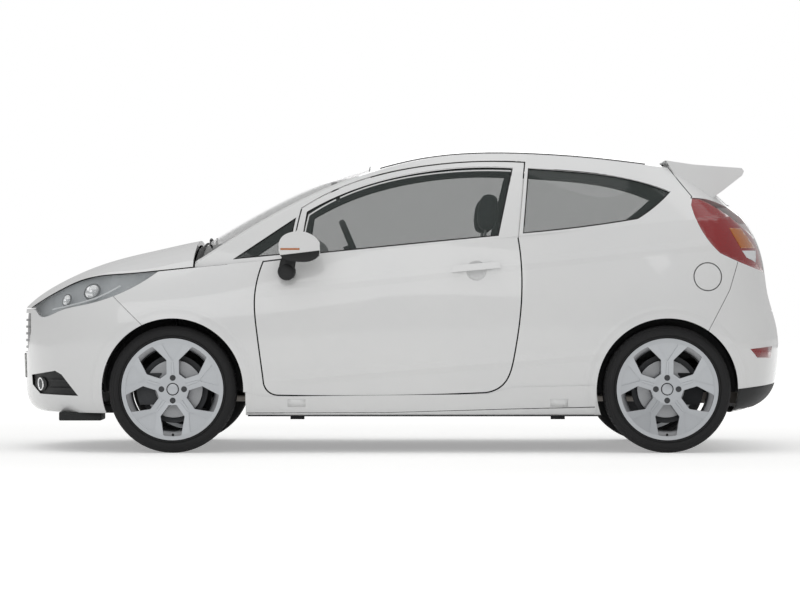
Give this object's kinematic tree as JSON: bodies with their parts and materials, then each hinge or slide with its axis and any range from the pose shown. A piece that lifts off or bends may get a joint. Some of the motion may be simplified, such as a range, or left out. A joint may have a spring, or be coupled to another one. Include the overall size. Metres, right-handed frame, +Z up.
{
  "type": "hot hatchback car",
  "caption": "Short three-door hatchback car with opening doors, bonnet, tailgate and fuel flap, steered front wheels and wheels that turn.",
  "frame": {"origin": "on the ground under the middle of the car's length and width", "axes": "+X forward along the car, +Y to its left, +Z up"},
  "size_m": [3.9303, 1.97, 1.5487],
  "materials": {
    "body_paint": "gloss white",
    "satin_black": "grained black",
    "gloss_black": "gloss black",
    "glass": "light tint",
    "lamp_lens": "clear lens",
    "red_lens": "red lens",
    "alloy": "painted silver",
    "tyre_rubber": "matt",
    "steel": "satin",
    "cast": "cast",
    "dark_metal": "satin black paint",
    "seat_cloth": "woven",
    "trim_plastic": "soft grain"
  },
  "bodies": {
    "body": {"floor_pan": "dark_metal", "side_panels": "body_paint", "roof_panel": "body_paint", "front_bumper": "body_paint", "rear_bumper": "body_paint", "front_wings": "body_paint", "scuttle_panel": "satin_black", "windscreen": "glass", "quarter_windows": "glass", "headlamps": "lamp_lens", "tail_lamps": "red_lens", "grille": "gloss_black", "fog_lamps": "satin_black", "side_skirts": "body_paint", "wheel_arch_liners": "satin_black", "dashboard": "trim_plastic", "front_seats": "seat_cloth", "rear_seat": "seat_cloth", "engine": "cast", "front_subframe": "dark_metal", "rear_axle": "dark_metal", "exhaust": "steel"},
    "bonnet": {"bonnet": "body_paint"},
    "tailgate": {"tailgate": "body_paint", "rear_window": "glass", "rear_spoiler": "body_paint"},
    "fuel_flap": {"fuel_flap": "body_paint"},
    "steering_wheel": {"steering_wheel": "trim_plastic"},
    "left_door": {"left_door": "body_paint", "left_door_glass": "glass", "left_mirror": "body_paint"},
    "right_door": {"right_door": "body_paint", "right_door_glass": "glass", "right_mirror": "body_paint"},
    "left_knuckle": {"front_left_knuckle": "cast"},
    "right_knuckle": {"front_right_knuckle": "cast"},
    "front_left_wheel": {"front_left_tyre": "tyre_rubber", "front_left_rim": "alloy"},
    "front_right_wheel": {"front_right_tyre": "tyre_rubber", "front_right_rim": "alloy"},
    "rear_left_wheel": {"rear_left_tyre": "tyre_rubber", "rear_left_rim": "alloy"},
    "rear_right_wheel": {"rear_right_tyre": "tyre_rubber", "rear_right_rim": "alloy"}
  },
  "joints": [
    {"name": "left_door_hinge", "type": "hinge", "parent": "body", "child": "left_door", "pos_m": [0.64, 0.822, 0.615], "axis": [0, 0, -1], "range_deg": [0, 65]},
    {"name": "right_door_hinge", "type": "hinge", "parent": "body", "child": "right_door", "pos_m": [0.64, -0.822, 0.615], "axis": [0, 0, 1], "range_deg": [0, 65]},
    {"name": "bonnet_hinge", "type": "hinge", "parent": "body", "child": "bonnet", "pos_m": [1.045, 0, 1.079], "axis": [0, -1, 0], "range_deg": [0, 58]},
    {"name": "tailgate_hinge", "type": "hinge", "parent": "body", "child": "tailgate", "pos_m": [-1.348, 0, 1.48], "axis": [0, 1, 0], "range_deg": [0, 78]},
    {"name": "fuel_flap_hinge", "type": "hinge", "parent": "body", "child": "fuel_flap", "pos_m": [-1.475, 0.864, 0.886], "axis": [0, 0, -1], "range_deg": [0, 100]},
    {"name": "left_steer", "type": "hinge", "parent": "body", "child": "left_knuckle", "pos_m": [1.144, 0.676, 0.2], "axis": [0, -0.239, 0.971], "range_deg": [-33, 33]},
    {"name": "right_steer", "type": "hinge", "parent": "body", "child": "right_knuckle", "pos_m": [1.144, -0.676, 0.2], "axis": [0, 0.239, 0.971], "range_deg": [-33, 33]},
    {"name": "steering_wheel_turn", "type": "hinge", "parent": "body", "child": "steering_wheel", "pos_m": [0.228, 0.37, 1.002], "axis": [-0.9205, 0, 0.3907], "range_deg": [-462, 462]},
    {"name": "front_left_spin", "type": "hinge", "parent": "left_knuckle", "child": "front_left_wheel", "pos_m": [1.144, 0.7325, 0.32], "axis": [0, 1, 0], "continuous": true},
    {"name": "front_right_spin", "type": "hinge", "parent": "right_knuckle", "child": "front_right_wheel", "pos_m": [1.144, -0.7325, 0.32], "axis": [0, 1, 0], "continuous": true},
    {"name": "rear_left_spin", "type": "hinge", "parent": "body", "child": "rear_left_wheel", "pos_m": [-1.345, 0.7325, 0.32], "axis": [0, 1, 0], "continuous": true},
    {"name": "rear_right_spin", "type": "hinge", "parent": "body", "child": "rear_right_wheel", "pos_m": [-1.345, -0.7325, 0.32], "axis": [0, 1, 0], "continuous": true}
  ],
  "couplings": [
    {"joint": "right_steer", "follows": "left_steer", "ratio": 1},
    {"joint": "steering_wheel_turn", "follows": "left_steer", "ratio": 14}
  ]
}
